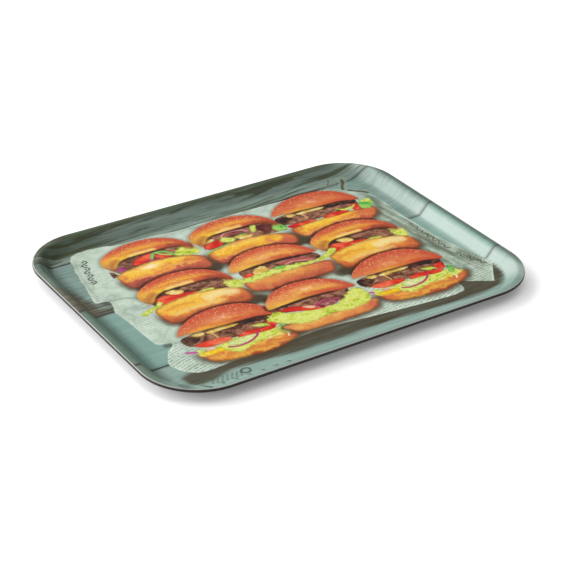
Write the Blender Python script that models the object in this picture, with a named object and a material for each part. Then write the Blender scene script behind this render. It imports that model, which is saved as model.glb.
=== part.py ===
"""Pressed laminate serving tray, modelled as the plies it is pressed from.

Units are metres and +Z is up. The tray stands on z = 0, centred on the origin, with its long
side along X. Every ply is a closed dish of even thickness, and each one nests in the ply below.
"""

import math

import bmesh
import bpy

# Plan of the trimmed edge
TRAY_LENGTH = 0.430
TRAY_WIDTH = 0.330
CORNER_RADIUS = 0.061
CORNER_STEPS = 8

# Section of the printed face, from the cut edge inwards to the floor of the well
EDGE_HEIGHT = 0.0150
LIP_WIDTH = 0.0053
LIP_CROWN = 0.0003
WELL_DEPTH = 0.0116
WALL_ANGLE = math.radians(48.0)
BEND_RADIUS = 0.0050
LIP_STEPS = 2
BEND_STEPS = 3

# Stack of plies, from the printed face down
OVERLAY_THICKNESS = 0.0002
DECOR_THICKNESS = 0.0002
BARRIER_THICKNESS = 0.0002
CORE_THICKNESS = 0.0012
BACKING_THICKNESS = 0.0004
BOND_GAP = 0.0003


def clear_scene():
    """Start from an empty scene."""
    for old in list(bpy.data.objects):
        bpy.data.objects.remove(old, do_unlink=True)


def face_section():
    """Stations of the printed face as (inset, height, slope), from the cut edge to the floor."""
    stations = []
    for step in range(LIP_STEPS + 1):
        share = step / LIP_STEPS
        rise = LIP_CROWN * math.sin(share * math.pi / 2)
        stations.append((share * LIP_WIDTH, EDGE_HEIGHT + rise, 0.0))

    lip_top = EDGE_HEIGHT + LIP_CROWN
    for step in range(1, BEND_STEPS + 1):
        slope = WALL_ANGLE * step / BEND_STEPS
        inset = LIP_WIDTH + BEND_RADIUS * math.sin(slope)
        stations.append((inset, lip_top - BEND_RADIUS * (1 - math.cos(slope)), slope))

    floor_height = EDGE_HEIGHT - WELL_DEPTH
    bend_drop = BEND_RADIUS * (1 - math.cos(WALL_ANGLE))
    bend_run = BEND_RADIUS * math.sin(WALL_ANGLE)
    wall_run = (lip_top - floor_height - 2 * bend_drop) / math.tan(WALL_ANGLE)
    floor_inset = LIP_WIDTH + 2 * bend_run + wall_run
    for step in range(BEND_STEPS, -1, -1):
        slope = WALL_ANGLE * step / BEND_STEPS
        inset = floor_inset - BEND_RADIUS * math.sin(slope)
        stations.append((inset, floor_height + BEND_RADIUS * (1 - math.cos(slope)), slope))
    return stations


def sunk_section(depth):
    """The same section, moved into the laminate by depth, square to the printed face."""
    return [
        (inset - depth * math.sin(slope), height - depth * math.cos(slope))
        for inset, height, slope in face_section()
    ]


def outline(inset):
    """Points of the rounded rectangle that lies inset inside the cut edge, anticlockwise."""
    centre_x = TRAY_LENGTH / 2 - CORNER_RADIUS
    centre_y = TRAY_WIDTH / 2 - CORNER_RADIUS
    radius = CORNER_RADIUS - inset
    points = []
    for corner, (side_x, side_y) in enumerate(((1, 1), (-1, 1), (-1, -1), (1, -1))):
        for step in range(CORNER_STEPS + 1):
            angle = math.pi / 2 * (corner + step / CORNER_STEPS)
            x = side_x * centre_x + radius * math.cos(angle)
            y = side_y * centre_y + radius * math.sin(angle)
            points.append((x, y))
    return points


def ply_mesh(name, top_depth, thickness):
    """A closed dish between two sunk copies of the printed face."""
    upper = sunk_section(top_depth)
    lower = sunk_section(top_depth + thickness)
    bm = bmesh.new()
    rings = [
        [bm.verts.new((x, y, height)) for x, y in outline(inset)]
        for inset, height in upper[::-1] + lower
    ]
    bm.faces.new(rings[0])
    for inner, outer in zip(rings, rings[1:]):
        for i in range(len(inner)):
            j = (i + 1) % len(inner)
            bm.faces.new((inner[i], outer[i], outer[j], inner[j]))
    bm.faces.new(rings[-1][::-1])

    mesh = bpy.data.meshes.new(name)
    bm.to_mesh(mesh)
    bm.free()
    mesh.shade_smooth()
    mesh.set_sharp_from_angle(angle=math.radians(40))
    return mesh


def ply_material(name, colour, roughness, alpha=1.0):
    """A plain Principled finish for one ply."""
    material = bpy.data.materials.new(name)
    material.use_nodes = True
    shader = material.node_tree.nodes["Principled BSDF"]
    shader.inputs["Base Color"].default_value = (*colour, 1.0)
    shader.inputs["Roughness"].default_value = roughness
    shader.inputs["Metallic"].default_value = 0.0
    shader.inputs["Alpha"].default_value = alpha
    return material


def add_ply(name, top_depth, thickness, material, tray):
    """Add one ply to the tray and return the depth at which the next one starts."""
    ply = bpy.data.objects.new(name, ply_mesh(name, top_depth, thickness))
    ply.data.materials.append(material)
    ply.parent = tray
    bpy.context.collection.objects.link(ply)
    return top_depth + thickness + BOND_GAP


def build_tray():
    """Stack the plies from the printed face down."""
    tray = bpy.data.objects.new("tray", None)
    bpy.context.collection.objects.link(tray)

    clear = ply_material("clear_melamine", (0.90, 0.93, 0.91), 0.32, alpha=0.2)
    print_paper = ply_material("printed_paper", (0.22, 0.32, 0.28), 0.45)
    brown_paper = ply_material("barrier_paper", (0.022, 0.017, 0.013), 0.45)
    core = ply_material("resin_paper_core", (0.020, 0.020, 0.021), 0.50)
    backing = ply_material("black_backing", (0.012, 0.012, 0.013), 0.45)

    depth = add_ply("clear_overlay", 0.0, OVERLAY_THICKNESS, clear, tray)
    depth = add_ply("decor_sheet", depth, DECOR_THICKNESS, print_paper, tray)
    depth = add_ply("barrier_sheet", depth, BARRIER_THICKNESS, brown_paper, tray)
    depth = add_ply("core_board", depth, CORE_THICKNESS, core, tray)
    add_ply("backing_sheet", depth, BACKING_THICKNESS, backing, tray)


clear_scene()
build_tray()
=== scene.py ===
"""Printed laminate serving tray: fine plies, their print and their finishes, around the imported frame."""

import math

import bpy
import numpy as np
from mathutils import Matrix, Vector


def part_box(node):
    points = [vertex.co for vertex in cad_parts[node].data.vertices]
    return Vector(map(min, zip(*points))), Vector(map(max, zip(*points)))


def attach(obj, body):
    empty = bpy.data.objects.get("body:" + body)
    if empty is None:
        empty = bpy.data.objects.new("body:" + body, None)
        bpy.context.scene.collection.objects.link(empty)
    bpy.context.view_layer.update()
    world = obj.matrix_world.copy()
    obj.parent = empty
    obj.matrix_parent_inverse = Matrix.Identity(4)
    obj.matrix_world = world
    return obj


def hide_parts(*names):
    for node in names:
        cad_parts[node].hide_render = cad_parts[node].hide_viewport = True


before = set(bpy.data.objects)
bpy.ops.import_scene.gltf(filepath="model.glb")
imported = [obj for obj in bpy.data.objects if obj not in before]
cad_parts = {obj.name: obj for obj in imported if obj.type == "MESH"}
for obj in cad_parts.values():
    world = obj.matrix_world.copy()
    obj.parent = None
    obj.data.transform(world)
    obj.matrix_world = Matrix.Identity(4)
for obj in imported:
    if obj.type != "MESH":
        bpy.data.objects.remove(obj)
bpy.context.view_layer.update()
MM = 0.001

# ------------------------------------------------------------------ the tray's section
# The same section as the CAD plies, sampled finely. Insets run inwards from the cut edge.
EDGE_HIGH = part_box("clear_overlay")[1]
HALF_LENGTH = EDGE_HIGH[0]
HALF_WIDTH = EDGE_HIGH[1]
LIP_CROWN = 0.3 * MM
EDGE_HEIGHT = EDGE_HIGH[2] - LIP_CROWN
CORNER_RADIUS = 61 * MM
LIP_WIDTH = 5.3 * MM
WELL_DEPTH = 11.6 * MM
WALL_ANGLE = math.radians(48)
BEND_RADIUS = 5 * MM
BOARD = 3.4 * MM

# The sanded cut edge
TOP_ARRIS = 1.30 * MM
BOTTOM_ARRIS = 0.90 * MM

# Depths of the plies below the printed face
PRINT_PLY = (0.0, 0.27 * MM)
BARRIER_PLY = (0.28 * MM, 0.75 * MM)
CORE_PLY = (0.76 * MM, 2.98 * MM)
BACKING_PLY = (2.99 * MM, BOARD)

# Mesh fineness
CORNER_STEPS = 48
LIP_STEPS = 8
BEND_STEPS = 10
WALL_STEPS = 12
PICTURE_STEP = 0.75 * MM
EDGE_STEP = 0.16 * MM
PLAIN_STEPS = (12, 9)


def edge_inset(depth):
    """How far the sanded edge stands in from the plan outline, at a depth below the face."""
    if depth < TOP_ARRIS:
        return TOP_ARRIS - math.sqrt(TOP_ARRIS**2 - (TOP_ARRIS - depth) ** 2)
    from_below = BOARD - depth
    if from_below < BOTTOM_ARRIS:
        return BOTTOM_ARRIS - math.sqrt(BOTTOM_ARRIS**2 - (BOTTOM_ARRIS - from_below) ** 2)
    return 0.0


def face_section(start):
    """Stations (inset, height, slope, run) of the face, from an inset at the edge to the floor."""
    stations = []
    for step in range(LIP_STEPS + 1):
        inset = start + (LIP_WIDTH - start) * step / LIP_STEPS
        rise = LIP_CROWN * math.sin(inset / LIP_WIDTH * math.pi / 2)
        stations.append((inset, EDGE_HEIGHT + rise, 0.0, inset))

    lip_top = EDGE_HEIGHT + LIP_CROWN
    for step in range(1, BEND_STEPS + 1):
        slope = WALL_ANGLE * step / BEND_STEPS
        inset = LIP_WIDTH + BEND_RADIUS * math.sin(slope)
        height = lip_top - BEND_RADIUS * (1 - math.cos(slope))
        stations.append((inset, height, slope, LIP_WIDTH + BEND_RADIUS * slope))

    floor_height = EDGE_HEIGHT - WELL_DEPTH
    bend_drop = BEND_RADIUS * (1 - math.cos(WALL_ANGLE))
    wall_drop = lip_top - floor_height - 2 * bend_drop
    wall_run = wall_drop / math.tan(WALL_ANGLE)
    wall_inset, wall_height, _, wall_start = stations[-1]
    wall_length = math.hypot(wall_run, wall_drop)
    for step in range(1, WALL_STEPS + 1):
        share = step / WALL_STEPS
        stations.append((wall_inset + share * wall_run, wall_height - share * wall_drop,
                         WALL_ANGLE, wall_start + share * wall_length))

    floor_inset = LIP_WIDTH + 2 * BEND_RADIUS * math.sin(WALL_ANGLE) + wall_run
    for step in range(BEND_STEPS - 1, -1, -1):
        slope = WALL_ANGLE * step / BEND_STEPS
        inset = floor_inset - BEND_RADIUS * math.sin(slope)
        height = floor_height + BEND_RADIUS * (1 - math.cos(slope))
        run = wall_start + wall_length + BEND_RADIUS * (WALL_ANGLE - slope)
        stations.append((inset, height, slope, run))
    return stations


def face_at(depth):
    """Stations (inset, height) of the face sunk into the board by depth, square to the print."""
    return [
        (inset - depth * math.sin(slope), height - depth * math.cos(slope))
        for inset, height, slope, _ in face_section(edge_inset(depth))
    ]


class Plan:
    """Points round the tray that every ring shares: a place on the corner centres' rectangle,
    and the direction in which the rings grow from it."""

    def __init__(self, along_x, along_y):
        self.along_x = along_x
        self.along_y = along_y
        self.centre_x = HALF_LENGTH - CORNER_RADIUS
        self.centre_y = HALF_WIDTH - CORNER_RADIUS
        base = []
        grow = []
        # grid holds each point's column and row in the middle rectangle's own grid
        grid = []
        corners = ((1, 1), (-1, 1), (-1, -1), (1, -1))
        for corner, (side_x, side_y) in enumerate(corners):
            here = (side_x * self.centre_x, side_y * self.centre_y)
            cell = (along_x * (side_x > 0), along_y * (side_y > 0))
            for step in range(CORNER_STEPS + 1):
                angle = math.pi / 2 * (corner + step / CORNER_STEPS)
                base.append(here)
                grow.append((math.cos(angle), math.sin(angle)))
                grid.append(cell)
            next_x, next_y = corners[(corner + 1) % 4]
            there = (next_x * self.centre_x, next_y * self.centre_y)
            next_cell = (along_x * (next_x > 0), along_y * (next_y > 0))
            steps = along_x if next_x != side_x else along_y
            for step in range(1, steps):
                share = step / steps
                base.append(tuple(a + (b - a) * share for a, b in zip(here, there)))
                grow.append(grow[-1])
                grid.append(tuple(round(a + (b - a) * share) for a, b in zip(cell, next_cell)))
        self.base = np.array(base)
        self.grow = np.array(grow)
        self.grid = grid
        self.count = len(base)

    def ring(self, inset):
        """The ring that lies inset inside the cut edge."""
        return self.base + self.grow * (CORNER_RADIUS - inset)


def ring_faces(count, first, second):
    """Quads between two rings, given by their first points' numbers."""
    here = np.arange(count)
    after = (here + 1) % count
    return np.stack([first + here, second + here, second + after, first + after], axis=1).tolist()


def finish_mesh(name, points, faces):
    """A smooth-shaded object from points and faces."""
    mesh = bpy.data.meshes.new(name)
    mesh.from_pydata(points, [], faces)
    mesh.validate()
    mesh.update()
    mesh.shade_smooth()
    piece = bpy.data.objects.new(name, mesh)
    bpy.context.collection.objects.link(piece)
    return piece


def edge_band(ply):
    """Stations down a ply's cut edge, (inset, height), between its two faces."""
    top, bottom = ply
    steps = max(4, round((bottom - top) / EDGE_STEP))
    return [
        (edge_inset(depth), EDGE_HEIGHT - depth)
        for depth in (top + (bottom - top) * step / steps for step in range(1, steps))
    ]


def plain_ply(name, ply):
    """A closed ply with plain faces, for the plies that show only at the edge or underneath."""
    plan = Plan(*PLAIN_STEPS)
    section = face_at(ply[0])[::-1] + edge_band(ply) + face_at(ply[1])
    points = []
    for inset, height in section:
        points += [(x, y, height) for x, y in plan.ring(inset)]
    faces = [list(range(plan.count))]
    for ring in range(len(section) - 1):
        faces += ring_faces(plan.count, ring * plan.count, (ring + 1) * plan.count)
    last = (len(section) - 1) * plan.count
    faces.append(list(range(last, last + plan.count))[::-1])
    return finish_mesh(name, points, faces)


def middle_grid(plan, height):
    """The flat rectangle between the corner centres, row by row: its points and its quads."""
    columns = plan.along_x + 1
    rows = plan.along_y + 1
    x, y = np.meshgrid(np.linspace(-plan.centre_x, plan.centre_x, columns),
                       np.linspace(-plan.centre_y, plan.centre_y, rows))
    points = np.stack([x.ravel(), y.ravel(), np.full(x.size, height)], axis=1)
    low_left = np.arange(columns * rows).reshape(rows, columns)[:-1, :-1].ravel()
    around = (low_left, low_left + 1, low_left + columns + 1, low_left + columns)
    return points, np.stack(around, axis=1).tolist()


def printed_stations():
    """Stations (inset, height, inset in the flat print) from the middle rectangle outwards."""
    section = face_section(edge_inset(0.0))
    floor_inset, floor_height, _, floor_run = section[-1]
    stations = []
    floor_rings = round((CORNER_RADIUS - floor_inset) / PICTURE_STEP)
    for step in range(1, floor_rings):
        inset = CORNER_RADIUS + (floor_inset - CORNER_RADIUS) * step / floor_rings
        stations.append((inset, floor_height, inset))
    for inset, height, _, run in section[::-1]:
        stations.append((inset, height, floor_inset - (floor_run - run)))
    for inset, height in edge_band(PRINT_PLY) + face_at(PRINT_PLY[1]):
        stations.append((inset, height, inset))
    return stations


def printed_ply(name):
    """The printed sheet: its face is a fine grid that carries the picture.

    Returns the piece and each point's place in the flat print, in millimetres.
    """
    plan = Plan(round(2 * (HALF_LENGTH - CORNER_RADIUS) / PICTURE_STEP),
                round(2 * (HALF_WIDTH - CORNER_RADIUS) / PICTURE_STEP))
    stations = printed_stations()
    middle, faces = middle_grid(plan, stations[0][1])
    points = [middle]
    flat = [middle[:, :2]]
    first = len(middle)
    rim = [column + row * (plan.along_x + 1) for column, row in plan.grid]
    for here in range(plan.count):
        after = (here + 1) % plan.count
        face = [rim[here], first + here, first + after, rim[after]]
        faces.append(face[:3] if rim[here] == rim[after] else face)
    for inset, height, flat_inset in stations:
        points.append(np.column_stack([plan.ring(inset), np.full(plan.count, height)]))
        flat.append(plan.ring(flat_inset))
    for ring in range(len(stations) - 1):
        start = first + ring * plan.count
        faces += ring_faces(plan.count, start, start + plan.count)
    last = first + (len(stations) - 1) * plan.count
    faces.append(list(range(last, last + plan.count))[::-1])
    return finish_mesh(name, np.vstack(points).tolist(), faces), np.vstack(flat) / MM


# ------------------------------------------------------------------ drawing tools
# The picture is drawn at the points of the printed face. Its numbers are millimetres from the
# tray's centre, colours are screen values from 0 to 255, and it is laid in layers, back to front.


def chance(column, row, seed):
    """A fixed number from 0 to 1 for each cell of a lattice."""
    mixed = (column * 374761393 + row * 668265263 + seed * 974634777) & 0xFFFFFFFF
    mixed = ((mixed ^ (mixed >> 13)) * 1274126177) & 0xFFFFFFFF
    return ((mixed ^ (mixed >> 16)) & 0xFFFFFF) / 0xFFFFFF


def cloud(x, y, size, seed, octaves=3):
    """Smooth noise from 0 to 1 with features of about the given size."""
    total = np.zeros_like(x)
    weight = 0.0
    for octave in range(octaves):
        share = 0.5**octave
        u = x * 2**octave / size + 17.3 * octave
        v = y * 2**octave / size + 5.1 * octave
        column = np.floor(u).astype(np.int64)
        row = np.floor(v).astype(np.int64)
        du = fade(u - column, 0.0, 1.0)
        dv = fade(v - row, 0.0, 1.0)
        low = chance(column, row, seed) * (1 - du) + chance(column + 1, row, seed) * du
        high = chance(column, row + 1, seed) * (1 - du) + chance(column + 1, row + 1, seed) * du
        total += share * (low * (1 - dv) + high * dv)
        weight += share
    return total / weight


def lumps(x, y, size, seed):
    """Noise from 0 to 1 whose features fold over each other, as in crumb, crust and leaf."""
    bend_x = cloud(x, y, size * 1.6, seed + 40, octaves=2) - 0.5
    bend_y = cloud(x, y, size * 1.6, seed + 41, octaves=2) - 0.5
    return cloud(x + size * bend_x * 1.6, y + size * bend_y * 1.6, size, seed, octaves=4)


def fade(value, low, high):
    """0 below low, 1 above high, smooth between."""
    share = np.clip((value - low) / (high - low), 0.0, 1.0)
    return share * share * (3 - 2 * share)


def tone(share, stops):
    """The colour at each share along a list of (share, colour) stops."""
    places = [stop[0] for stop in stops]
    return np.stack(
        [np.interp(share, places, [stop[1][c] for stop in stops]) for c in range(3)], axis=1
    )


def blend(colour, other, share):
    """Colours moved towards another colour by a share each."""
    return colour + (np.array(other) - colour) * share[:, None]


def curve(points, closed=True, steps=6):
    """A smooth curve through a few points."""
    knots = np.array(points, dtype=float)
    if closed:
        knots = np.vstack([knots[-1:], knots, knots[:2]])
    else:
        knots = np.vstack([2 * knots[:1] - knots[1:2], knots, 2 * knots[-1:] - knots[-2:-1]])
    share = np.arange(steps)[:, None] / steps
    parts = []
    for a, b, c, d in zip(knots, knots[1:], knots[2:], knots[3:]):
        parts.append(
            0.5
            * (
                2 * b
                + (c - a) * share
                + (2 * a - 5 * b + 4 * c - d) * share**2
                + (3 * b - a - 3 * c + d) * share**3
            )
        )
    if not closed:
        parts.append(knots[-2:-1])
    return np.vstack(parts)


def line_distance(x, y, line):
    """Distance to an open line."""
    best = np.full(x.shape, np.inf)
    for (x0, y0), (x1, y1) in zip(line, line[1:]):
        dx, dy = x1 - x0, y1 - y0
        along = np.clip(((x - x0) * dx + (y - y0) * dy) / (dx * dx + dy * dy + 1e-9), 0.0, 1.0)
        best = np.minimum(best, (x - x0 - along * dx) ** 2 + (y - y0 - along * dy) ** 2)
    return np.sqrt(best)


def depth_inside(x, y, loop):
    """Distance to a closed line, positive inside it."""
    ring = np.vstack([loop, loop[:1]])
    inside = np.zeros(x.shape, dtype=bool)
    for (x0, y0), (x1, y1) in zip(ring, ring[1:]):
        crosses = (y0 > y) != (y1 > y)
        inside ^= crosses & (x < x0 + (x1 - x0) * (y - y0) / (y1 - y0 + 1e-12))
    return np.where(inside, 1.0, -1.0) * line_distance(x, y, ring)


class Picture:
    """Colour over the bare planks: ink is the colour times its cover, with the cover fourth."""

    def __init__(self, x, y):
        self.x = x
        self.y = y
        self.ink = np.zeros((len(x), 4))
        self.crust = np.zeros(len(x))
        self.newsprint = np.zeros(len(x))
        self.crumb = np.zeros(len(x))

    def near(self, line, at=(0.0, 0.0), margin=6.0):
        """The points around a shape, as their numbers and their places from the shape's origin."""
        low = line.min(axis=0) + at - margin
        high = line.max(axis=0) + at + margin
        inside = (self.x > low[0]) & (self.x < high[0]) & (self.y > low[1]) & (self.y < high[1])
        chosen = np.nonzero(inside)[0]
        return chosen, self.x[chosen] - at[0], self.y[chosen] - at[1]

    def along(self, points, at=(0.0, 0.0), margin=6.0):
        """The points around a curved line, their places, and their distances from it."""
        line = curve(points, closed=False)
        chosen, u, v = self.near(line, at, margin)
        return chosen, u, v, line_distance(u, v, line)

    def within(self, points, at=(0.0, 0.0), margin=6.0, steps=6):
        """The points around an outline, their places, and how deep they lie inside it."""
        loop = curve(points, steps=steps)
        chosen, u, v = self.near(loop, at, margin)
        return chosen, u, v, depth_inside(u, v, loop)

    def lay(self, chosen, cover, colour, crust=0.0, newsprint=0.0, crumb=0.0):
        """Lay a colour over what is there."""
        layer = np.ones((len(chosen), 4))
        layer[:, :3] = np.asarray(colour) / 255.0
        kept = 1.0 - cover
        self.ink[chosen] = self.ink[chosen] * kept[:, None] + layer * cover[:, None]
        self.crust[chosen] = self.crust[chosen] * kept + crust * cover
        self.newsprint[chosen] = self.newsprint[chosen] * kept + newsprint * cover
        self.crumb[chosen] = self.crumb[chosen] * kept + crumb * cover


class Brush:
    """Draws round one place on a picture. Each shape's own number picks its noise."""

    def __init__(self, picture, at=(0.0, 0.0), seed=0):
        self.picture = picture
        self.at = at
        self.seed = seed

    def lowered(self, drop):
        """The same brush, a little lower on the picture."""
        return Brush(self.picture, (self.at[0], self.at[1] - drop), self.seed)

    def within(self, points, margin=6.0):
        """The points around an outline that is drawn from the brush's place."""
        return self.picture.within(points, self.at, margin)

    def patch(self, points, tones, number, grain=3.0, ragged=0.5, rim=None):
        """One piece of food: an outline filled with a mottle of three tones, dark to light."""
        seed = self.seed + number
        chosen, u, v, depth = self.within(points)
        depth = depth + ragged * (2 * cloud(u, v, 3.2, seed + 7, octaves=2) - 1)
        mottle = lumps(u * 0.8, v, grain * 1.5, seed)
        if tones in (LETTUCE, HERB):
            # frilled leaf: bright folds with dark between them
            mottle = 0.92 - 1.9 * np.abs(mottle - 0.5) * (0.6 + 0.8 * cloud(u, v, 2.5, seed + 9))
        share = np.clip(0.5 + 1.5 * (mottle - 0.5), 0.0, 1.0)
        colour = tone(share, list(zip((0.0, 0.5, 1.0), tones)))
        edge = 1 - fade(depth, 0.0, 2.2)
        if rim:
            colour = blend(colour, rim, 0.65 * edge)
        colour = colour * (1 - 0.16 * edge[:, None])
        self.picture.lay(chosen, fade(depth, -0.65, 0.65), colour, crumb=0.7)

    def stroke(self, points, width, colour, soft=0.8):
        """A curved strip of one colour, a little lighter along its middle."""
        chosen, _, _, away = self.picture.along(points, self.at)
        lit = np.clip(np.array(colour) + 26 * (1 - away / width)[:, None], 0, 255)
        cover = 1 - fade(away, width / 2 - soft / 2, width / 2 + soft / 2)
        self.picture.lay(chosen, cover, lit, crumb=0.4)

    def crease(self, points, colour, strength, width):
        """A soft, uneven line along a bun."""
        chosen, u, v, away = self.picture.along(points, self.at)
        away = away / (0.5 + cloud(u, v, 6.0, 77))
        cover = strength * (1 - fade(away, 0.0, width * 1.5))
        self.picture.lay(chosen, cover, colour, crumb=0.45)


# ------------------------------------------------------------------ the food
DARK_GAP = (62, 42, 32)
MEAT = ((70, 46, 38), (134, 92, 74), (192, 142, 116))
SEARED = ((40, 30, 27), (76, 54, 44), (120, 88, 70))
GLAZED = ((60, 30, 34), (104, 60, 58), (150, 96, 84))
MARBLED = ((96, 44, 52), (170, 104, 104), (226, 186, 170))
TOMATO = ((196, 44, 36), (226, 72, 56), (240, 132, 96))
PALE_TOMATO = ((238, 150, 110), (246, 190, 150), (250, 220, 190))
LETTUCE = ((136, 158, 50), (190, 206, 70), (222, 228, 124))
PALE_LEAF = ((186, 206, 110), (216, 224, 150), (240, 240, 208))
HERB = ((44, 128, 66), (84, 172, 84), (160, 206, 104))
CHEESE = ((204, 158, 70), (232, 198, 112), (250, 232, 176))
MELTED = ((214, 178, 60), (236, 208, 84), (240, 226, 150))
YOLK = ((228, 172, 34), (246, 204, 40), (250, 222, 100))
PURPLE_ONION = ((122, 36, 84), (160, 62, 118), (206, 132, 172))
PINK_ONION = ((150, 40, 70), (196, 90, 110), (236, 190, 196))
WHITE_ONION = ((250, 220, 210), (240, 200, 190), (200, 90, 110))
ONION = (158, 48, 92)
BAKED = (200, 90, 68)
BAKED_RIGHT = (188, 88, 66)
BAKED_LEFT = (186, 122, 76)
BAKED_SIDES = (202, 104, 76)
PALE_LIP = (246, 206, 130)
CROWN_GLARE = (250, 214, 176)
BASE_GLARE = (255, 244, 214)
UNDER_BUN = (84, 70, 56)

SPLIT_TOP = (
    (-50, 12), (-46, 26), (-31, 37), (-14, 42.5), (3, 44), (20, 41.5), (35, 34), (45, 23),
    (50.5, 9), (48, 2), (41, 11), (28, 16), (3, 16.5), (-20, 17), (-32, 12), (-38, 4), (-44, 2),
)
WEDGE_TOP = (
    (-52, 15.5), (-44, 27), (-29, 37), (-13, 42.5), (4, 44), (24, 41), (39, 32), (48.5, 18.5),
    (52.5, 4), (45, 3.5), (39, 6), (28, 9), (12, 10), (-8, 11), (-28, 13), (-42, 14.5),
)
FLAT_TOP = (
    (-48, 12), (-45, 22), (-33, 35), (-17, 42), (1, 44), (23, 40), (40, 29), (49, 15),
    (51, 7), (38, 8), (20, 11), (-2, 13), (-27, 12.5), (-42, 11),
)
SPLIT_BASE = (
    (-48, -14), (-41, -8), (-21, -3.5), (2, -1.5), (22, -5), (41, -12), (49.5, -20), (50.5, -30),
    (45, -42), (22, -44), (-10, -44), (-40, -43), (-47, -32),
)
ROUND_BASE = (
    (-50, -21), (-44, -17), (-8, -15), (28, -16), (54, -20), (54, -29), (45, -39), (24, -46),
    (-18, -46), (-42, -40), (-49, -31),
)
FLAT_BASE = (
    (-49, -13), (-44, -11), (-6, -10), (28, -12), (51, -16), (50, -27), (41, -37), (6, -39),
    (-33, -36), (-47, -28),
)


def glare_spot(u, v, middle, long, high):
    """A soft bright oval, 1 in its middle."""
    return np.exp(-(((u - middle[0]) / long) ** 2) - ((v - middle[1]) / high) ** 2)


def crumb_mottle(u, v, seed):
    """A fine uneven shade for baked crust."""
    return 0.96 + 0.1 * cloud(u, v, 2.4, seed, octaves=2)[:, None]


def top_bun(brush, points, ramp, number, edge_line=10.0, glare=(0.0, 24.0), band=9.0):
    """A baked crown: golden at the cut, with a redder baked band round its top and right."""
    seed = brush.seed + number
    chosen, u, v, depth = brush.within(points)
    over_food = 1 - brush.picture.newsprint[chosen]
    gap = fade(depth, -5.0, 0.0) * fade(v, 2.0, 14.0) * (0.25 + 0.65 * over_food)
    brush.picture.lay(chosen, gap, DARK_GAP)

    crust = lumps(u * 0.9, v, 10.0, seed) - 0.5
    rise = (v - edge_line + 0.005 * u * u) / (44.0 - edge_line) + 0.5 * crust
    colour = tone(rise, ramp)
    baked = 1 - fade(depth + 9 * crust, 0.3 * band, 1.3 * band)
    baked = baked * fade(v + 0.4 * u, edge_line - 6.0, edge_line + 14.0)
    colour = blend(colour, BAKED, 0.95 * baked)
    right = fade(u + 14 * crust, 26.0, 52.0)
    colour = blend(colour, BAKED_RIGHT, 0.6 * right)
    left = fade(-u + 10 * crust, 30.0, 50.0) * (1 - fade(v, 10.0, 26.0))
    colour = blend(colour, BAKED_LEFT, 0.75 * left)
    under = (1 - fade(depth, 0.0, 2.6)) * (1 - fade(rise, 0.0, 0.35))
    colour = colour * (1 - 0.4 * under[:, None])
    spot = glare_spot(u, v, glare, 12, 5) * fade(cloud(u, v, 4.0, seed + 3), 0.2, 0.8)
    colour = blend(colour, CROWN_GLARE, 0.62 * spot)
    crest = fade(rise, 0.18, 0.75) * (1 - 0.5 * right)
    colour = colour * crumb_mottle(u, v * 0.7, seed + 5)
    brush.picture.lay(chosen, fade(depth, -0.7, 0.7), colour, crust=crest, crumb=0.55)


def base_bun(brush, points, ramp, number, top_line=-4.0, glare=None, sides=0.8):
    """A lower half: light in its upper middle, redder at its sides and browner underneath."""
    seed = brush.seed + number
    chosen, u, v, depth = brush.within(points, margin=11.0)
    depth = depth + 0.8 * (2 * cloud(u, v, 4.0, seed + 6) - 1)
    beneath = 1 - fade(v, -34.0, -10.0)
    brush.picture.lay(chosen, 0.8 * fade(depth, -9.0, 0.0) * beneath, UNDER_BUN)

    crust = lumps(u, v, 8.0, seed) - 0.5
    side = ((u + 5) / 50) ** 2
    drop = (top_line - v - 0.003 * u * u) / 40.0 + 0.5 * crust + 0.2 * side
    colour = tone(drop, ramp)
    colour = blend(colour, BAKED_SIDES, sides * fade(side + 0.7 * crust, 0.25, 0.95))
    lip = np.exp(-(((drop - 0.05) / 0.07) ** 2))
    colour = blend(colour, PALE_LIP, 0.35 * lip)
    colour = colour * (1 - 0.28 * (1 - fade(depth, 0.0, 4.0))[:, None])
    if glare:
        colour = blend(colour, BASE_GLARE, 0.85 * glare_spot(u, v, glare, 9, 4))
    colour = colour * crumb_mottle(u, v, seed + 5)
    brush.picture.lay(chosen, fade(depth, -0.7, 0.7), colour, crust=0.1, crumb=0.6)


# Crust colours: a crown's from its cut upwards, a lower half's from its top downwards
RUSSET = [(0.0, (238, 184, 72)), (0.2, (232, 156, 72)), (0.4, (214, 118, 78)), (1.0, (198, 92, 72))]
GOLDEN = [
    (0.0, (244, 206, 92)), (0.15, (240, 192, 68)), (0.45, (238, 180, 66)),
    (0.68, (228, 146, 74)), (1.0, (208, 100, 72)),
]
TOASTED = [(0.0, (238, 190, 76)), (0.35, (236, 176, 82)), (0.6, (226, 144, 86)), (1.0, (212, 108, 80))]
LOWER_GOLD = [
    (0.0, (228, 160, 82)), (0.12, (244, 200, 80)), (0.32, (238, 182, 66)), (0.44, (222, 142, 70)),
    (0.50, (236, 166, 96)), (0.57, (190, 98, 74)), (0.8, (150, 74, 66)), (1.0, (100, 58, 50)),
]
LOWER_BRIGHT = [
    (0.0, (240, 190, 84)), (0.3, (242, 192, 78)), (0.55, (236, 172, 70)), (0.72, (214, 122, 66)),
    (1.0, (150, 80, 60)),
]
LOWER_RUST = [(0.0, (228, 160, 80)), (0.3, (220, 144, 82)), (0.55, (200, 106, 76)), (0.85, (128, 68, 54))]
LOWER_CRUMB = [
    (0.2, (222, 150, 70)), (0.4, (206, 118, 66)), (0.55, (232, 176, 80)), (0.7, (208, 124, 66)),
    (0.85, (230, 170, 76)), (1.0, (176, 92, 60)),
]


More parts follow.
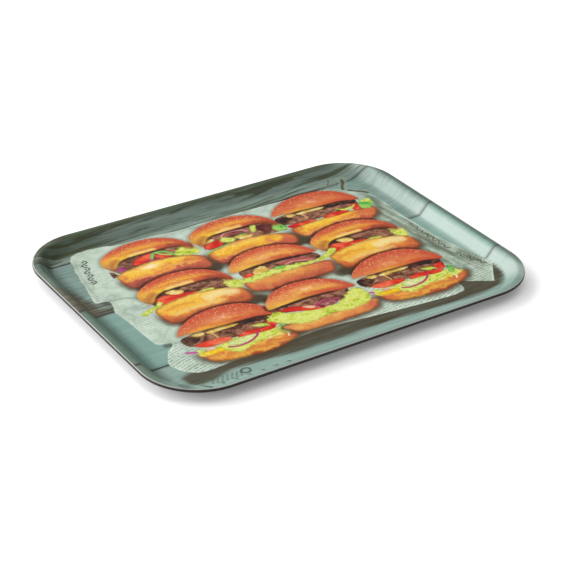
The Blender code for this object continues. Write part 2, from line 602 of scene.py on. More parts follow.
def split_crown(food, first):
    """The crown of a burger seen a little from below, with flaps that hang at its sides."""
    top_bun(food, SPLIT_TOP, GOLDEN, first, edge_line=14.0, glare=(-4.0, 21.0), band=11.0)
    food.crease(((-24, 24.5), (0, 26), (22, 24)), (204, 130, 58), 0.6, 1.2)
    food.crease(((-16, 19.5), (-2, 20.5), (12, 20)), (252, 228, 130), 0.8, 2.6)
    food.crease(((-44, 4), (-40, 11), (-33, 17)), (160, 92, 62), 0.6, 5.0)
    food.crease(((30, 19), (41, 13), (47, 4)), (146, 74, 56), 0.7, 5.0)


def burger_herbs(food):
    """Tomato, herbs and a frilly leaf under a split crown."""
    food.patch(((-44, 12), (-20, 18), (10, 18), (35, 15), (47, 6), (44, -6), (20, -8), (-10, -6),
                (-40, -9)), MEAT, 0, grain=4.0)
    food.patch(((-51, -2), (-46, -3), (-45, -13), (-51, -12)), MEAT, 1, ragged=2.0)
    food.patch(((-40, 2), (-35, 3), (-31, -1), (-33, -5), (-39, -5)), PURPLE_ONION, 2)
    food.patch(((-22, -1), (-18, 7), (-10, 12), (5, 15), (7, 10), (0, 1), (-8, -2)), TOMATO, 3, grain=7.0,
                rim=(178, 40, 34))
    food.patch(((4, -1), (10, 8), (20, 5), (21, -3)), TOMATO, 4, grain=6.0)
    food.patch(((-6, 0), (0, 3), (9, 1), (6, -3)), PINK_ONION, 5, grain=2.0)
    food.stroke(((1, 3), (8, 12), (18, 10), (25, -1)), 3.4, (112, 168, 78))
    food.stroke(((10, 12), (16, 4), (22, 0)), 2.4, (136, 186, 96))
    food.patch(((26, 0), (35, 9), (48, 6), (52, -5), (46, -12), (33, -8), (26, -5)), LETTUCE, 6,
                grain=2.6, ragged=2.2)
    base_bun(food, SPLIT_BASE, LOWER_GOLD, 8, glare=(-8.0, -11.0))
    food.crease(((-38, -23), (-10, -20), (20, -20), (42, -26)), (246, 190, 96), 0.55, 1.6)
    split_crown(food, 9)


def burger_mixed(food):
    """Rings of onion, a long blade of leaf and tomato under a split crown."""
    food.patch(((-40, 10), (-20, 18), (6, 19), (34, 14), (46, 4), (46, -14), (20, -14), (-14, -12),
                (-42, -12)), MEAT, 0, grain=3.4)
    food.patch(((-16, 16), (6, 18), (24, 13), (22, 9), (4, 12), (-14, 11)), SEARED, 1)
    food.stroke(((-18, 3), (-14, 9), (-4, 11), (8, 8), (13, 3)), 2.2, (206, 120, 124))
    food.stroke(((-11, 3), (-4, 6), (5, 4)), 1.8, (150, 50, 70))
    food.patch(((-45, -10), (-40, -1), (-22, 1), (-19, -5), (-32, -12)), TOMATO, 2, grain=7.0,
                rim=(180, 40, 34))
    food.patch(((-44, 2), (-38, 8), (-26, 6), (-32, 1)), CHEESE, 3, ragged=1.0)
    food.patch(((-22, -5), (-18, 4), (-6, -4), (-12, -9)), LETTUCE, 4, ragged=1.5)
    food.patch(((-8, -4), (5, 2), (9, -4), (0, -8)), HERB, 5)
    food.patch(((-6, -1), (6, -2), (14, -8), (0, -11)), CHEESE, 6, ragged=1.5)
    food.patch(((16, 0), (25, 19), (29, 16), (22, -1)), LETTUCE, 7, grain=5.0)
    food.patch(((24, 4), (34, 8), (44, 1), (40, -8), (28, -8)), GLAZED, 8)
    food.patch(((38, -6), (47, 1), (54, -5), (52, -15), (42, -15)), HERB, 9, ragged=1.5)
    base_bun(food, tuple((x * 1.02, y - 8 if y > -24 else y - 3) for x, y in SPLIT_BASE), LOWER_GOLD, 10,
             top_line=-12.0)
    food.stroke(((-48, -19), (-38, -14), (-26, -13), (-16, -10)), 1.8, (122, 172, 84))
    split_crown(food.lowered(3), 11)


def burger_open(food):
    """A split burger whose lower half shows its pale crumb."""
    food.patch(((-42, 12), (-20, 18), (10, 18), (36, 14), (45, 6), (44, -12), (20, -12), (-10, -8),
                (-40, -6)), SEARED, 0, grain=3.0)
    food.patch(((-6, 14), (4, 17), (25, 15), (38, 7), (40, -6), (30, -7), (12, -1), (-4, 6)), MEAT, 1,
                grain=2.4, rim=(84, 52, 42))
    food.patch(((-22, 14), (-14, 16), (-5, 9), (-9, 2), (-18, 6)), CHEESE, 2, grain=2.4, ragged=1.4)
    food.patch(((-38, 3), (-30, 9), (-18, 7), (-10, -1), (-18, -8), (-36, -7)), TOMATO, 3, grain=5.0)
    food.patch(((-13, 4), (3, 2), (9, -3), (0, -7), (-11, -5)), TOMATO, 4, grain=5.0)
    food.patch(((2, -3), (20, -5), (37, -11), (36, -17), (12, -10)), TOMATO, 5)
    food.patch(((2, -2), (8, -1), (18, 0), (25, -4), (14, -6)), LETTUCE, 6, ragged=1.0)
    food.patch(((-63, -11), (-54, -7), (-44, -4), (-36, 3), (-33, -3), (-45, -10), (-58, -15)), LETTUCE,
                7, grain=2.6, ragged=1.8)
    food.patch(((39, 4), (46, 5), (54, -1), (52, -12), (46, -24), (40, -12)), LETTUCE, 8, grain=2.2,
                ragged=2.0)
    base_bun(food, SPLIT_BASE, LOWER_BRIGHT, 9, top_line=-2.0, sides=0.45)
    food.crease(((10, -17), (24, -14), (38, -19)), (246, 228, 170), 0.8, 8.5)
    food.crease(((-32, -28), (-14, -26), (4, -27), (20, -27)), (242, 208, 130), 0.7, 4.5)
    food.crease(((-36, -17), (-22, -14), (-8, -16)), (206, 130, 58), 0.5, 2.5)
    split_crown(food, 12)


def wedge_filling(food, first):
    """A thick patty with melted cheese."""
    food.patch(((-53, 8), (-38, 12), (-10, 12), (26, 10), (43, 4), (44, -8), (20, -13), (-20, -12),
                (-49, -7)), MEAT, first, grain=2.6, rim=(58, 40, 34))
    food.patch(((-53, 8), (-44, 9), (-34, 6), (-38, -1), (-50, -3)), SEARED, first + 1)
    food.patch(((0, 9), (20, 10), (45, 4), (43, -3), (26, 1), (6, 2), (-14, 4)), SEARED, first + 2,
                ragged=1.5)
    food.patch(((-40, 12), (-30, 12), (-28, 7), (-36, 5)), CHEESE, first + 3, ragged=1.5)
    food.patch(((-26, 8), (-16, 11), (0, 9.5), (9, 7), (4, 4), (-11, 4.5), (-22, 4)), CHEESE, first + 4,
                grain=4.0, ragged=0.8)
    food.stroke(((-22, 5), (-20.5, 0), (-20, -6)), 1.7, (206, 160, 96))


def burger_wedge(food):
    """A tall crown over a patty, with a thin line of tomato."""
    base_bun(food, ROUND_BASE, LOWER_GOLD, 0, top_line=-12.0)
    wedge_filling(food, 1)
    food.patch(((-49, -11), (-36, -10), (-16, -12), (-17, -15.5), (-36, -17), (-46, -17)), TOMATO, 6,
                grain=6.0)
    food.patch(((-5, -14), (4, -10), (24, -11), (26, -16), (11, -18), (-1, -17)), TOMATO, 7, grain=6.0)
    food.patch(((36, -4), (43, -5), (42, -17), (33, -16)), TOMATO, 8)
    food.patch(((16, -4), (25, -8), (40, -6), (34, -12), (23, -12)), LETTUCE, 9, grain=2.2, ragged=1.2)
    food.patch(((43, -17), (46, -5), (56, -1), (63, -5), (60, -14), (51, -21)), HERB, 10, grain=5.0,
                ragged=1.2)
    food.patch(((50, -3), (58, 0), (63, -4), (58, -10)), LETTUCE, 11, ragged=1.4)
    top_bun(food, WEDGE_TOP, RUSSET, 12)


def burger_garden(food):
    """A tall crown over a patty, tomato, onion and frilly leaves."""
    base_bun(food, ((-50, -21), (-20, -22), (20, -24), (54, -28), (50, -39), (35, -46), (10, -50.5),
             (-22, -47), (-42, -41), (-49, -31)), LOWER_CRUMB, 0, top_line=-10.0)
    food.patch(((-50, -20), (-20, -20), (20, -20), (52, -26), (40, -33), (0, -31), (-30, -28),
                (-48, -28)), MELTED, 1, ragged=1.6)
    wedge_filling(food, 2)
    food.patch(((-51, -15), (-40, -16), (-22, -17), (-5, -14), (15, -16), (35, -17), (46, -19), (53, -27),
                (43, -33), (36, -29), (15, -31), (0, -34), (-17, -37), (-23, -30), (-36, -20),
                (-49, -22)), LETTUCE, 7, grain=2.2, ragged=2.4)
    food.patch(((-47, -22), (-36, -21), (-25, -23), (-27, -28), (-43, -28)), YOLK, 8)
    food.patch(((-46, -7), (-35, -5), (-17, -7), (-8, -12), (-15, -16), (-33, -16), (-43, -12)), TOMATO,
                9, grain=6.0)
    food.patch(((-3, -13), (8, -9), (25, -12), (39, -13), (33, -19), (15, -18), (0, -17)), TOMATO, 10,
                grain=4.0)
    food.patch(((-18, -20), (-6, -16), (12, -17), (16, -20), (6, -25), (-12, -26)), PALE_LEAF, 11,
                grain=2.0)
    food.patch(((-42, -18), (-34, -17), (-30, -20), (-38, -21)), WHITE_ONION, 12, grain=2.0)
    food.stroke(((-20, -25), (-12, -28), (2, -27), (12, -22), (17.5, -16)), 2.4, ONION)
    food.stroke(((-59, -14), (-51, -17.5)), 3.2, (176, 62, 128))
    food.patch(((18, -3), (28, -5), (36, -11), (24, -10)), LETTUCE, 13, ragged=1.2)
    food.patch(((43, -12), (49, -13), (48, -20), (43, -26), (39, -24), (42, -18)), HERB, 15, grain=4.0)
    food.stroke(((40, -28), (41, -33), (39, -37)), 1.8, (222, 218, 160))
    food.patch(((34, -4), (44, -3), (42, -14), (34, -12)), TOMATO, 14, grain=3.0)
    top_bun(food, WEDGE_TOP, RUSSET, 15)


def burger_leafy(food):
    """A round crown over onion and a long band of leaf."""
    base_bun(food, FLAT_BASE, LOWER_RUST, 0, top_line=-8.0)
    food.patch(((-40, 10), (-17, 14), (6, 14), (31, 11), (47, 5), (46, -10), (18, -11), (-32, -11),
                (-41, -2)), MEAT, 1, grain=3.0)
    food.patch(((-30, 12), (0, 14), (34, 11), (46, 4), (30, 6), (0, 9), (-26, 9)), SEARED, 2, ragged=1.0)
    food.stroke(((4, 3), (16, 5), (28, 3), (38, -3)), 3.0, (164, 64, 74))
    food.stroke(((8, 0), (20, 1), (33, -4)), 1.6, (214, 130, 130))
    food.patch(((-43, 0), (-32, 3), (-25, -1), (-34, -5)), TOMATO, 3)
    food.patch(((-27, 4), (-17, 10), (-11, 5), (-16, -6), (-28, -4)), CHEESE, 4, grain=3.0, ragged=1.6)
    food.patch(((-64, 3), (-52, -1), (-37, -4), (-17, -2), (0, -1), (18, -4), (33, -7), (46, -9),
                (38, -13), (13, -12), (-12, -12), (-37, -13), (-52, -9), (-60, -12), (-64, -6)), LETTUCE,
                5, grain=2.4, ragged=2.4)
    food.patch(((-8, -2), (0, 1), (8, -3), (0, -6)), HERB, 6, grain=2.0)
    food.patch(((44, -7), (55, -2), (67, 4), (71, 0), (60, -7), (50, -10)), LETTUCE, 7, grain=2.4,
                ragged=1.6)
    top_bun(food, FLAT_TOP, TOASTED, 8)


def burger_salad(food):
    """A round crown over a patty that rests on a big leaf."""
    base_bun(food, ((-50, -20), (0, -24), (52, -22), (51, -33), (38, -40), (0, -41), (-38, -39),
             (-49, -31)), LOWER_RUST, 0, top_line=-24.0)
    food.patch(((-46, 12), (0, 15), (38, 14), (41, 4), (38, -5), (12, -8), (-25, -4), (-42, 3)), MEAT, 1,
                grain=2.4, rim=(70, 46, 38))
    food.patch(((-46, 13), (0, 15), (38, 14), (36, 9), (0, 10), (-40, 9)), SEARED, 2)
    food.patch(((-60, -5), (-55, 2), (-45, 5), (-35, -2), (-20, -7), (-2, -11), (12, -12), (25, -9),
                (35, -1), (47, 5), (54, -6), (51, -19), (38, -27), (20, -27), (0, -25), (-25, -28),
                (-40, -23), (-53, -13)), LETTUCE, 3, grain=2.8, ragged=2.6)
    food.patch(((-41, 4), (-27, 6), (-10, -1), (8, -7), (5, -12), (-8, -11), (-26, -4)), TOMATO, 4,
                grain=7.0)
    food.patch(((-17, 0), (-9, -1), (-3, -7), (-10, -7)), PALE_TOMATO, 5)
    food.patch(((-3, -6), (9, -1), (22, -6), (16, -11), (2, -11)), MARBLED, 6, grain=2.0)
    food.stroke(((-5, -7), (1, -1.5), (10, 0), (19, -2), (23, -8)), 2.0, ONION)
    top_bun(food, FLAT_TOP, TOASTED, 8, glare=(4.0, 28.0))


# ------------------------------------------------------------------ paper, shadow and planks
SHEET = (
    (-163, 138), (-170, 119), (-175, 97), (-180, 65), (-184.5, 42), (-171, 38.5), (-176, 15),
    (-173, -10), (-173, -35), (-170.5, -54), (-158, -61), (-170, -75), (-177, -92), (-171, -109),
    (-155, -119), (-127, -117), (-87, -118), (-40, -113), (-10, -114), (40, -120), (95, -126),
    (132, -128), (141, -121), (143, -108), (158, -117), (175, -126.5), (176, -126.5), (187, -111),
    (198, -96), (198, -94), (191, -60), (184, -25), (182, 15), (181, 40), (183, 80), (178, 98),
    (165, 112), (146, 129), (90, 131), (0, 132), (-45, 131), (-80, 135), (-113, 136), (-123, 140),
    (-143, 142),
)
SHADOW = (
    (-172, -114), (-179, -124), (-174, -134), (-156, -135), (-134, -130), (-116, -129), (-90, -132),
    (-60, -135), (0, -136), (60, -135), (120, -140), (160, -139), (186, -128), (195, -112),
    (192, -96), (140, -100), (-100, -105),
)
PAPER = ((146, 162, 148), (194, 211, 194), (216, 229, 213))
PAPER_GREY = (128, 130, 108)
SHADOW_COLOUR = (80, 69, 54)
NICK_SHADOW = (84, 76, 62)
GAP_COLOUR = (66, 58, 46)
SCROLL_INK = (54, 58, 48)
DOT_INK = (64, 68, 58)


def draw_shadow(picture):
    """The printed shadow that the paper throws on the planks."""
    chosen, u, v, depth = picture.within(SHADOW, margin=12.0)
    streaks = cloud(u / 14, v, 2.6, 30) - 0.5
    shade = fade(depth + 5 * streaks * fade(u, -165, -120), -3.5, 3.5)
    picture.lay(chosen, shade * (0.90 + 0.25 * streaks), SHADOW_COLOUR)
    nicks = ((((-176, 36), (-171, 33)), 6.0), (((-164, -62), (-157, -64), (-150, -70)), 5.0))
    for points, width in nicks:
        chosen, _, _, away = picture.along(points, margin=9.0)
        picture.lay(chosen, 0.75 * (1 - fade(away, 1.0, width)), NICK_SHADOW)


def draw_sheet(picture):
    """Crumpled greaseproof paper."""
    chosen, u, v, depth = picture.within(SHEET, margin=3.0, steps=4)
    wobble = 1.2 * (2 * cloud(u, v, 9.0, 31) - 1)
    depth = depth + wobble * fade(np.abs(u), 60.0, 150.0) * (u < 170)
    fold = lumps(u + 0.4 * v, v - 0.3 * u, 24.0, 33)
    crumple = np.abs(lumps(u, v, 13.0, 35) - 0.5) * 2
    lightness = 0.58 + 0.6 * (fold - 0.5) + 0.45 * (crumple - 0.3)
    # the sheet turns away and greys towards the right, in long streaks
    aside = fade(u, 142.0, 165.0) * (1 - fade(v, 80.0, 110.0)) * fade(v, -112.0, -80.0)
    streak = cloud(u * 1.3 + 0.2 * v, v / 7, 6.0, 37)
    lightness = lightness - aside * (0.12 + 0.9 * (streak - 0.35))
    colour = tone(lightness, list(zip((0.1, 0.5, 0.9), PAPER)))
    colour = blend(colour, PAPER_GREY, 0.6 * aside * fade(streak, 0.45, 0.75))
    lip = fade(depth, 0.0, 0.6) * (1 - fade(depth, 0.8, 2.4))
    colour = colour + 14 * lip[:, None]
    picture.lay(chosen, fade(depth, -0.5, 0.5), colour, newsprint=1.0)


def draw_gaps(picture):
    """The dark places where four burgers meet."""
    for x, y in ((-47, 44), (59, 44), (-44, -33), (60, -32)):
        reach = np.array([(-9, -6), (9, 8)])
        chosen, u, v = picture.near(reach, (x, y), margin=14.0)
        away = np.hypot(u / 13, v / 10) + 0.5 * (cloud(u, v, 6.0, 61) - 0.5)
        picture.lay(chosen, 0.9 * (1 - fade(away, 0.5, 1.25)), GAP_COLOUR)


def draw_scroll(picture, points, size):
    """A plain printed border on the paper: a waving line with a dot in every bend."""
    line = curve(points, closed=False, steps=12)
    reach = np.concatenate([[0.0], np.cumsum(np.hypot(*np.diff(line, axis=0).T))])
    bends = int(reach[-1] / size)
    place = np.linspace(0.0, reach[-1], 4 * bends + 1)
    middle = np.stack([np.interp(place, reach, line[:, side]) for side in (0, 1)], axis=1)
    along = np.gradient(middle, axis=0)
    across = np.stack([-along[:, 1], along[:, 0]], axis=1) / np.hypot(*along.T)[:, None]
    sway = 0.45 * size * np.sin(np.pi * place / size)
    brush = Brush(picture)
    brush.stroke(middle + across * sway[:, None], size * 0.22, SCROLL_INK, soft=1.2)
    for bend in range(2, 4 * bends, 4):
        dot = middle[bend] - across[bend] * sway[bend] * 0.35
        brush.stroke((dot, dot + 0.3), size * 0.34, DOT_INK, soft=1.2)


def draw_folds(picture):
    """The creases of the paper that show beside the food."""
    folds = (
        (((-166, 125), (-172, 100), (-176, 70), (-180, 46)), 4.5, -26),
        (((-163, 118), (-167, 96), (-172, 68)), 1.6, -30),
        (((-171, 38), (-158, 37), (-146, 30), (-142, 18)), 2.2, -34),
        (((-156, -60), (-150, -72), (-151, -88), (-148, -104)), 9.0, -16),
        (((150, 128), (168, 108), (176, 90), (172, 60)), 7.0, -40),
        (((158, 60), (160, 20), (166, -20), (172, -60)), 8.0, -34),
        (((160, -66), (168, -92), (156, -112)), 6.0, -30),
        (((-30, -116), (40, -123), (120, -126)), 2.0, 22),
    )
    for points, width, change in folds:
        chosen, _, _, away = picture.along(points, margin=width)
        under = picture.ink[chosen, :3] * 255
        share = (1 - fade(away, 0.0, width)) * picture.newsprint[chosen]
        picture.lay(chosen, share * 0.8, np.clip(under + change, 0, 255), newsprint=1.0)


CRACK = (84, 78, 62)
CRACK_RIM = (150, 166, 148)
LONG_GRAIN = (80, 86, 68)
SHORT_GRAIN = (88, 96, 78)
KNOT_RING = (72, 78, 62)


def draw_wood_marks(picture):
    """The cracks and the knot that break the planks' straight grain."""
    for points, width in (
        (((173, 139), (170, 132), (165, 126), (161, 119)), 6.5),
        (((166, 114), (170, 109), (176, 105), (180, 99)), 6.5),
        (((136, 134.5), (150, 134), (160, 134.5)), 2.4),
        (((140, 130), (152, 136), (160, 146)), 1.6),
    ):
        chosen, u, v, away = picture.along(points, margin=8.0)
        away = away + 1.2 * (cloud(u, v, 3.0, 51) - 0.5)
        picture.lay(chosen, 0.5 * (1 - fade(away, width * 0.5, width)), CRACK_RIM)
        picture.lay(chosen, 0.9 * (1 - fade(away, 0.6, width * 0.42)), CRACK)
    for number in range(7):
        foot = -178 + 14 * number
        points = ((foot - 3, -156), (foot, -160), (foot + 4, -164))
        chosen, u, v, away = picture.along(points)
        away = away / (0.6 + 0.8 * cloud(u, v, 7.0, 53))
        picture.lay(chosen, 0.8 * (1 - fade(away, 0.3, 2.2)), LONG_GRAIN)
    for number in range(7):
        foot = -160 + 5 * number
        points = ((foot + 4, -148), (foot, -141), (foot + 4, -134))
        chosen, _, _, away = picture.along(points, margin=4.0)
        picture.lay(chosen, 0.55 * (1 - fade(away, 0.3, 1.5)), SHORT_GRAIN)
    knot = ((-128, -136), (-124, -132.5), (-119, -134), (-119, -138.5), (-124, -140))
    chosen, _, _, depth = picture.within(knot)
    picture.lay(chosen, 0.9 * (1 - fade(np.abs(depth), 0.3, 1.6)), KNOT_RING)


def draw_burgers(picture):
    """The food, back to front: each row of burgers overlaps the row behind it."""
    burgers = (
        (burger_herbs, (-95, 89)), (burger_mixed, (7, 89)), (burger_wedge, (111, 89)),
        (burger_open, (-95, 11)), (burger_open, (110, 12)), (burger_leafy, (7, 11)),
        (burger_garden, (-95, -69)), (burger_garden, (109, -65)), (burger_salad, (0, -69)),
    )
    for number, (draw, at) in enumerate(burgers, start=1):
        draw(Brush(picture, at, 100 * number))


def draw_picture(picture):
    """The whole print, in layers from back to front."""
    draw_shadow(picture)
    draw_wood_marks(picture)
    draw_sheet(picture)
    draw_folds(picture)
    draw_scroll(picture, ((-156, 124), (-162, 102), (-168, 76)), 7.0)
    draw_scroll(picture, ((176, 16), (177, -20), (178, -50)), 4.5)
    draw_scroll(picture, ((179, -60), (185, -78), (192, -94)), 6.0)
    draw_gaps(picture)
    draw_burgers(picture)


# ------------------------------------------------------------------ materials
# How the studio light turns the print's albedo into screen colour: sheen added, then a gain
SATIN_SHEEN = 0.026
PRINT_GAIN = 0.585
BLACK = (0.0, 0.0, 0.0, 1.0)


class Field:
    """A number in a node tree, so that arithmetic on it reads as arithmetic."""

    def __init__(self, tree, socket):
        self.tree = tree
        self.socket = socket

    def math(self, operation, *others, clamp=False):
        """A Math node on this number and any others."""
        made = self.tree.nodes.new("ShaderNodeMath")
        made.operation = operation
        made.use_clamp = clamp
        for place, value in enumerate((self, *others)):
            feed(self.tree, made.inputs[place], value)
        return Field(self.tree, made.outputs[0])

    def __add__(self, other):
        return self.math("ADD", other)

    def __sub__(self, other):
        return self.math("SUBTRACT", other)

    def __mul__(self, other):
        return self.math("MULTIPLY", other)

    def __truediv__(self, other):
        return self.math("DIVIDE", other)

    def step(self, low, high):
        """0 below low, 1 above high, smooth between; falling if low is above high."""
        made = self.tree.nodes.new("ShaderNodeMapRange")
        made.interpolation_type = "SMOOTHSTEP"
        feed(self.tree, made.inputs["Value"], self)
        rising = low < high
        made.inputs["From Min"].default_value = min(low, high)
        made.inputs["From Max"].default_value = max(low, high)
        made.inputs["To Min"].default_value = 0.0 if rising else 1.0
        made.inputs["To Max"].default_value = 1.0 if rising else 0.0
        return Field(self.tree, made.outputs["Result"])


def feed(tree, socket, value):
    """Set an input, or link it to a field or a socket."""
    if isinstance(value, Field):
        tree.links.new(value.socket, socket)
    elif isinstance(value, bpy.types.NodeSocket):
        tree.links.new(value, socket)
    else:
        socket.default_value = value


def new_material(name, specular):
    """A Principled material and its node tree and shader."""
    material = bpy.data.materials.new(name)
    material.use_nodes = True
    shader = material.node_tree.nodes["Principled BSDF"]
    shader.inputs["Specular IOR Level"].default_value = specular
    return material, material.node_tree, shader


def linear(colour):
    """A screen colour from 0 to 255 as scene-linear red, green, blue and alpha."""
    return (*((np.asarray(colour) / 255.0) ** 2.2).tolist(), 1.0)


def printed(screen):
    """The albedo that shows as a screen colour from 0 to 1 under the sheen of the satin sheet."""
    return np.maximum(screen**2.2 - SATIN_SHEEN, 0.002) * PRINT_GAIN


def print_ink(colour):
    """The same for one colour from 0 to 255, with alpha."""
    return (*printed(np.asarray(colour) / 255.0).tolist(), 1.0)


def mixed(tree, share, first, second, mode="MIX"):
    """The first colour with a share of the second over it."""
    made = tree.nodes.new("ShaderNodeMix")
    made.data_type = "RGBA"
    made.blend_type = mode
    made.clamp_factor = True
    feed(tree, made.inputs["Factor"], share)
    feed(tree, made.inputs["A"], first)
    feed(tree, made.inputs["B"], second)
    return made.outputs["Result"]


def noise(tree, place, scale, detail=3.0, rough=0.5, warp=0.0):
    """Noise from 0 to 1 at a place."""
    made = tree.nodes.new("ShaderNodeTexNoise")
    settings = {"Vector": place, "Scale": scale, "Detail": detail, "Roughness": rough,
                "Distortion": warp}
    for socket, value in settings.items():
        feed(tree, made.inputs[socket], value)
    return Field(tree, made.outputs["Fac"])


def vector(tree, x, y, z=0.0):
    """A vector from three numbers."""
    made = tree.nodes.new("ShaderNodeCombineXYZ")
    for socket, value in zip(made.inputs, (x, y, z)):
        feed(tree, socket, value)
    return made.outputs[0]


def stretched(tree, x, y, detail, rough=0.5, warp=0.0, layer=0.0):
    """Noise from 0 to 1 at a place whose coordinates are already scaled, each on its own."""
    return noise(tree, vector(tree, x, y, layer), 1.0, detail, rough, warp)


def parts(tree, place):
    """The three numbers of a vector."""
    made = tree.nodes.new("ShaderNodeSeparateXYZ")
    tree.links.new(place, made.inputs[0])
    return [Field(tree, socket) for socket in made.outputs]


def object_place(tree):
    """The place on the object, in metres."""
    return tree.nodes.new("ShaderNodeTexCoord").outputs["Object"]


def finish_shader(tree, shader, colour, rough, height, depth, strength):
    """Give the shader its colour and roughness, and relief of a depth from a height field."""
    made = tree.nodes.new("ShaderNodeBump")
    made.inputs["Strength"].default_value = strength
    made.inputs["Distance"].default_value = depth
    feed(tree, made.inputs["Height"], height)
    feed(tree, shader.inputs["Base Color"], colour)
    feed(tree, shader.inputs["Roughness"], rough)
    tree.links.new(made.outputs["Normal"], shader.inputs["Normal"])


def attribute(tree, name, output="Vector"):
    """A named attribute of the mesh."""
    made = tree.nodes.new("ShaderNodeAttribute")
    made.attribute_name = name
    return made.outputs[output]


# Weathered planks: each seam is (Y at the middle, rise per millimetre along X)
SEAMS = ((130.3, 0.022), (21.8, 0.019), (-89.5, 0.013))
# From the far board to the near one: its dark and light paint, and half its grain's range
PLANKS = (
    ((98, 112, 98), (160, 180, 170), 0.25),
    ((106, 130, 120), (152, 178, 170), 0.25),
    ((114, 148, 139), (150, 182, 171), 0.36),
    ((120, 148, 138), (168, 192, 182), 0.36),
)
GRAIN_MIDDLE = 0.49
SEAM_COLOUR = (62, 44, 36)
SEED_COLOUR = (250, 210, 150)
DASH_COLOUR = (88, 108, 98)
WORN_DARK = (66, 58, 46)
WORN_COLOUR = (118, 112, 94)
OLIVE = (80, 84, 62)
STREAK_COLOUR = (66, 66, 52)
# Each knot is (x, y, reach along the grain, reach across it)
KNOTS = ((-124, -136, 26, 7), (4, 152, 34, 8), (60, -158, 40, 8), (168, 116, 30, 10))


def bent_grain(tree, x, y):
    """The height across the grain, which runs along X, bends round the knots and drifts."""
    bent = y
    for knot_x, knot_y, long, wide in KNOTS:
        off_x = (x - knot_x) / long
        off_y = (y - knot_y) / wide
        bent = bent - (y - knot_y) * 0.8 / (off_x * off_x + off_y * off_y + 1.0)
    return bent + stretched(tree, x * 0.006, y * 0.02, 2.0) * 14.0


def boards(tree, seams, grain):
    """The painted boards, each between its two seams."""
    board = None
    for number, (dark, light, contrast) in enumerate(PLANKS):
        share = grain.step(GRAIN_MIDDLE - contrast, GRAIN_MIDDLE + contrast)
        colour = mixed(tree, share, print_ink(dark), print_ink(light))
        board = colour if board is None else mixed(
            tree, seams[number - 1].step(0.4, -0.4), board, colour)
    return board


def painted_shade_and_sheen(x, y):
    """Painted light on the boards, each as its share and colour: painted shade on the far wall, the end
    lips and the back left (partly the boards' darker print), painted shadow at the foot of the left wall,
    painted sheen on the right wall and painted shade at the near right corner.
    """
    # painted shade on the far wall, the end lips and the back left, partly the boards' own darker print
    far = (x.step(-192.0, -214.0) * 0.85).math("MAXIMUM", x.step(209.0, 216.0) * 0.8)
    far = far.math("MAXIMUM", y.step(156.0, 164.0) * 1.2)
    far = far.math("MAXIMUM", x.step(-70.0, -180.0) * y.step(130.0, 144.0))
    # painted shadow at the foot of the left wall
    foot_shadow = x.step(-203.0, -197.0) * x.step(-184.0, -195.0)
    # painted sheen of the key light on the right wall, weaker towards its far end
    wall_sheen = x.step(186.0, 200.0) * x.step(212.0, 206.0) * (y.step(20.0, 70.0) * -0.22 + 0.62)
    # painted shade at the near right corner
    near_right_shade = x.step(140.0, 215.0) * y.step(-90.0, -150.0)
    return (
        (far * 0.78, (82, 92, 76)),
        (foot_shadow * 0.55, (60, 74, 64)),
        (wall_sheen, (204, 218, 210)),
        (near_right_shade * 0.45, (96, 116, 108)),
    )


def planks(tree, x, y):
    """The printed boards: painted, weathered wood with seams along X, under painted shade, shadow and
    sheen near the walls.
    """
    bent = bent_grain(tree, x, y)
    coarse = stretched(tree, x * 0.008, bent * 0.13, 3.0, 0.6, 0.3)
    fine = stretched(tree, x * 0.02, bent * 0.5, 4.0, 0.72, 0.2)
    hair = stretched(tree, x * 0.09, bent * 3.2, 2.0, 0.6)
    seams = [(y - height) - x * rise for height, rise in SEAMS]
    board = boards(tree, seams, coarse * 0.45 + fine * 0.4 + hair * 0.15)
    # painted shade, shadow and sheen laid over the boards
    for share, colour in painted_shade_and_sheen(x, y):
        board = mixed(tree, share, board, print_ink(colour))

    # paint worn off to brown wood, above the left of the middle seam
    above = seams[1].step(-0.5, 0.5)
    reach = x.step(-184.0, -196.0) * 36.0 + 18.0
    ragged = (seams[1] - reach) / 18.0 + (fine - 0.5) * 3.5
    low_strip = ragged.step(0.8, -0.8) * above * x.step(60.0, -20.0)
    bare = mixed(tree, fine.step(0.38, 0.60), print_ink(WORN_DARK), print_ink(WORN_COLOUR))
    board = mixed(tree, low_strip * 0.88, board, bare)

    # olive figure on the far boards, and dark streaks that follow the grain
    on_far = seams[0].step(-3.0, 3.0)
    figure = stretched(tree, x * 0.009, (bent - x * 0.05) * 0.15, 4.0, 0.62, 0.4, layer=3.0)
    share = figure.step(0.50, 0.40) * (on_far * 0.6 + above * 0.2)
    board = mixed(tree, share, board, print_ink(OLIVE))
    streak = (fine * 0.6 + hair * 0.4).step(0.46, 0.30)
    rough_boards = above * 0.35 + low_strip * 0.45 + on_far * 0.2 + 0.10
    board = mixed(tree, streak * rough_boards, board, print_ink(STREAK_COLOUR))

    # each seam is a dark line of uneven width with a soft dark border
    width = stretched(tree, x * 0.05, 7.0, 2.0) * 1.4 + 0.35
    # the seam lines are paler towards the right wall, where painted sheen washes them out
    strength = x.step(150.0, 195.0) * -0.4 + 0.92
    for seam in seams:
        away = seam.math("ABSOLUTE")
        line = (away - width).step(0.35, -0.35) * strength
        board = mixed(tree, line, board, print_ink(SEAM_COLOUR))
        board = mixed(tree, away.step(5.0, 0.5) * 0.25, board, print_ink(SEAM_COLOUR))
    return board


def newsprint_marks(tree, x, y):
    """Rows of short plain dashes, far too small and even to be letters."""
    turned_x = x * 0.97 + y * 0.26
    turned_y = y * 0.97 - x * 0.26
    row = (turned_y + (turned_x * 0.045).math("SINE") * 4.0) / 3.7
    in_row = row.math("FRACT")
    ink_row = in_row.step(0.22, 0.34) * in_row.step(0.80, 0.66)
    row_number = row.math("FLOOR")
    dash = stretched(tree, turned_x * 0.60, row_number * 7.7, 1.0).step(0.42, 0.52)
    block = stretched(tree, x * 0.025, y * 0.025, 1.0, layer=9.0).step(0.40, 0.52)
    nearest = y.step(-52.0, -66.0)
    return ink_row * dash * (nearest * 0.25 + 0.3) * (block + nearest).math("MINIMUM", 1.0)


